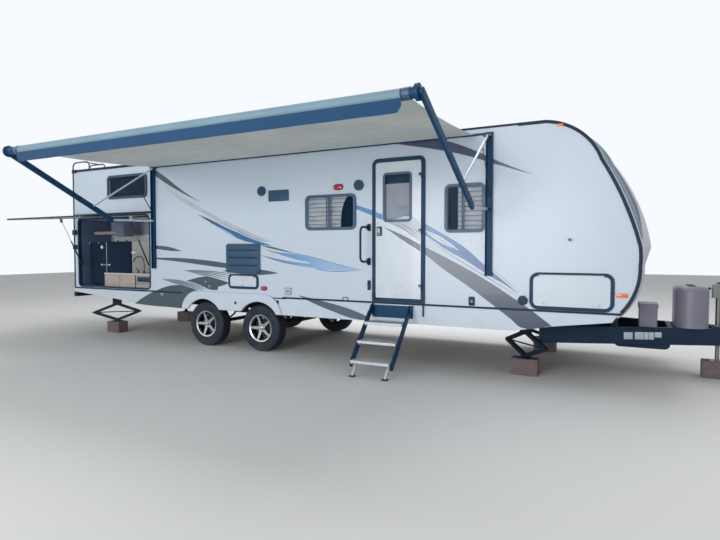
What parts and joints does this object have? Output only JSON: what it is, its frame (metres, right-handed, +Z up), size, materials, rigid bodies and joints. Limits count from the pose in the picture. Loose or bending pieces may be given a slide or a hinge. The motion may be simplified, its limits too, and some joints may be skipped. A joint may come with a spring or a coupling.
{
  "type": "travel caravan",
  "caption": "Tandem-axle travel caravan with entry stair, awning on folding arms, outdoor kitchen under a lifting hatch, boat-shaped front cap and jack on an A-frame hitch.",
  "frame": {"origin": "On the ground, at the middle of the underside of the timber block under the tongue jack.", "axes": "+X points forward to the hitch, +Y to the off side away from the awning, +Z up. The awning, stair and kitchen are on the -Y side."},
  "size_m": [10.6653, 4.842, 3.2703],
  "materials": {
    "wall_skin": "gloss",
    "front_shell": "gloss",
    "roof_skin": "satin",
    "floor_board": "matte",
    "skirt_skin": "gloss",
    "black_trim": "satin",
    "silver_trim": "satin",
    "chassis_paint": "satin",
    "white_cover": "satin",
    "jack_steel": "worn",
    "timber": "rough",
    "rubber_tyre": "matte",
    "wheel_alloy": "machined",
    "window_glass": "tinted",
    "blind_cloth": "matte",
    "white_door": "gloss",
    "vent_plastic": "satin",
    "kitchen_panel": "satin",
    "counter_wood": "satin",
    "kitchen_steel": "polished",
    "black_gloss": "gloss",
    "awning_cloth": "matte",
    "awning_cover": "matte",
    "awning_paint": "satin",
    "stair_alloy": "satin",
    "lamp_plastic": "gloss"
  },
  "bodies": {
    "caravan": {"side_wall_camp": "wall_skin", "side_wall_off": "wall_skin", "rear_wall": "wall_skin", "roof": "roof_skin", "front_cap": "front_shell", "floor": "floor_board", "skirts": "skirt_skin", "fenders": "skirt_skin", "corner_trims": "black_trim", "chassis_frame": "chassis_paint", "a_frame": "chassis_paint", "coupler": "chassis_paint", "tongue_jack": "jack_steel", "gas_bottle_cover": "white_cover", "battery_box": "black_trim", "stabilizer_jacks": "chassis_paint", "support_blocks": "timber", "running_gear": "chassis_paint", "window_frames": "black_trim", "window_panes": "window_glass", "window_blinds": "blind_cloth", "entry_door_frame": "black_trim", "hatch_frames": "black_trim", "refrigerator_vent": "vent_plastic", "kitchen_liner": "kitchen_panel", "kitchen_counter": "counter_wood", "kitchen_fittings": "kitchen_steel", "refrigerator": "black_gloss", "awning_channels": "awning_paint", "awning_arms": "awning_paint", "awning_links": "silver_trim", "awning_roller": "awning_paint", "awning_canopy": "awning_cloth", "awning_valance": "awning_cover", "stair_sill": "awning_paint", "rear_ladder": "black_trim", "wall_brackets": "black_trim", "roof_units": "white_cover", "wall_fittings": "lamp_plastic"},
    "entry_door": {"entry_door": "white_door", "entry_door_glass": "window_glass"},
    "kitchen_hatch": {"kitchen_hatch": "white_door"},
    "strut_cylinders": {"hatch_strut_cylinders": "black_trim"},
    "strut_rods": {"hatch_strut_rods": "kitchen_steel"},
    "storage_door_camp": {"storage_door_camp": "white_door"},
    "storage_door_off": {"storage_door_off": "white_door"},
    "service_door": {"service_door": "white_door"},
    "grab_handle": {"grab_handle": "black_trim"},
    "stair_arms": {"stair_arms": "awning_paint"},
    "tread_upper": {"tread_upper": "stair_alloy"},
    "tread_middle": {"tread_middle": "stair_alloy"},
    "tread_lower": {"tread_lower": "stair_alloy"},
    "wheel_front_camp": {"tyre_front_camp": "rubber_tyre", "rim_front_camp": "wheel_alloy"},
    "wheel_front_off": {"tyre_front_off": "rubber_tyre", "rim_front_off": "wheel_alloy"},
    "wheel_rear_camp": {"tyre_rear_camp": "rubber_tyre", "rim_rear_camp": "wheel_alloy"},
    "wheel_rear_off": {"tyre_rear_off": "rubber_tyre", "rim_rear_off": "wheel_alloy"}
  },
  "joints": [
    {"name": "wheel_front_camp", "type": "hinge", "parent": "caravan", "child": "wheel_front_camp", "pos_m": [-5.837, -1.19, 0.35], "axis": [0, 1, 0], "continuous": true},
    {"name": "wheel_front_off", "type": "hinge", "parent": "caravan", "child": "wheel_front_off", "pos_m": [-5.837, 1.19, 0.35], "axis": [0, 1, 0], "continuous": true},
    {"name": "wheel_rear_camp", "type": "hinge", "parent": "caravan", "child": "wheel_rear_camp", "pos_m": [-6.905, -1.19, 0.35], "axis": [0, 1, 0], "continuous": true},
    {"name": "wheel_rear_off", "type": "hinge", "parent": "caravan", "child": "wheel_rear_off", "pos_m": [-6.905, 1.19, 0.35], "axis": [0, 1, 0], "continuous": true},
    {"name": "entry_door", "type": "hinge", "parent": "caravan", "child": "entry_door", "pos_m": [-3.27, -1.246, 1.75], "axis": [0, 0, 1], "range_deg": [0, 165]},
    {"name": "kitchen_hatch", "type": "hinge", "parent": "caravan", "child": "kitchen_hatch", "pos_m": [-9.02, -1.239, 2.098], "axis": [1, 0, 0], "range_deg": [0, 85.5]},
    {"name": "hatch_strut_cylinders", "type": "hinge", "parent": "caravan", "child": "strut_cylinders", "pos_m": [-9.02, -1.206, 1.27], "axis": [1, 0, 0], "range_deg": [-28.9, 0]},
    {"name": "hatch_strut_rods", "type": "slide", "parent": "strut_cylinders", "child": "strut_rods", "axis": [0, -0.4337, 0.9011], "range_m": [-0.326, 0]},
    {"name": "storage_door_camp", "type": "hinge", "parent": "caravan", "child": "storage_door_camp", "pos_m": [-1.52, -1.243, 1.234], "axis": [-1, 0, 0], "range_deg": [0, 175]},
    {"name": "storage_door_off", "type": "hinge", "parent": "caravan", "child": "storage_door_off", "pos_m": [-1.52, 1.243, 1.234], "axis": [1, 0, 0], "range_deg": [0, 175]},
    {"name": "service_door", "type": "hinge", "parent": "caravan", "child": "service_door", "pos_m": [-6.1175, -1.243, 1.124], "axis": [-1, 0, 0], "range_deg": [0, 150]},
    {"name": "grab_handle", "type": "hinge", "parent": "caravan", "child": "grab_handle", "pos_m": [-4.008, -1.268, 1.59], "axis": [0, 0, 1], "range_deg": [-90, 0]},
    {"name": "stair_arms", "type": "hinge", "parent": "caravan", "child": "stair_arms", "pos_m": [-3.67, -1.285, 0.772], "axis": [-1, 0, 0], "range_deg": [0, 42]},
    {"name": "tread_upper", "type": "hinge", "parent": "stair_arms", "child": "tread_upper", "pos_m": [-3.67, -1.475, 0.562], "axis": [-1, 0, 0], "range_deg": [-42, 0]},
    {"name": "tread_middle", "type": "hinge", "parent": "stair_arms", "child": "tread_middle", "pos_m": [-3.67, -1.665, 0.352], "axis": [-1, 0, 0], "range_deg": [-42, 0]},
    {"name": "tread_lower", "type": "hinge", "parent": "stair_arms", "child": "tread_lower", "pos_m": [-3.67, -1.855, 0.142], "axis": [-1, 0, 0], "range_deg": [-42, 0]}
  ],
  "couplings": [
    {"joint": "hatch_strut_cylinders", "follows": "kitchen_hatch", "ratio": -0.33691},
    {"joint": "hatch_strut_rods", "follows": "kitchen_hatch", "m_per_rad": -0.21784},
    {"joint": "tread_upper", "follows": "stair_arms", "ratio": -1},
    {"joint": "tread_middle", "follows": "stair_arms", "ratio": -1},
    {"joint": "tread_lower", "follows": "stair_arms", "ratio": -1}
  ]
}
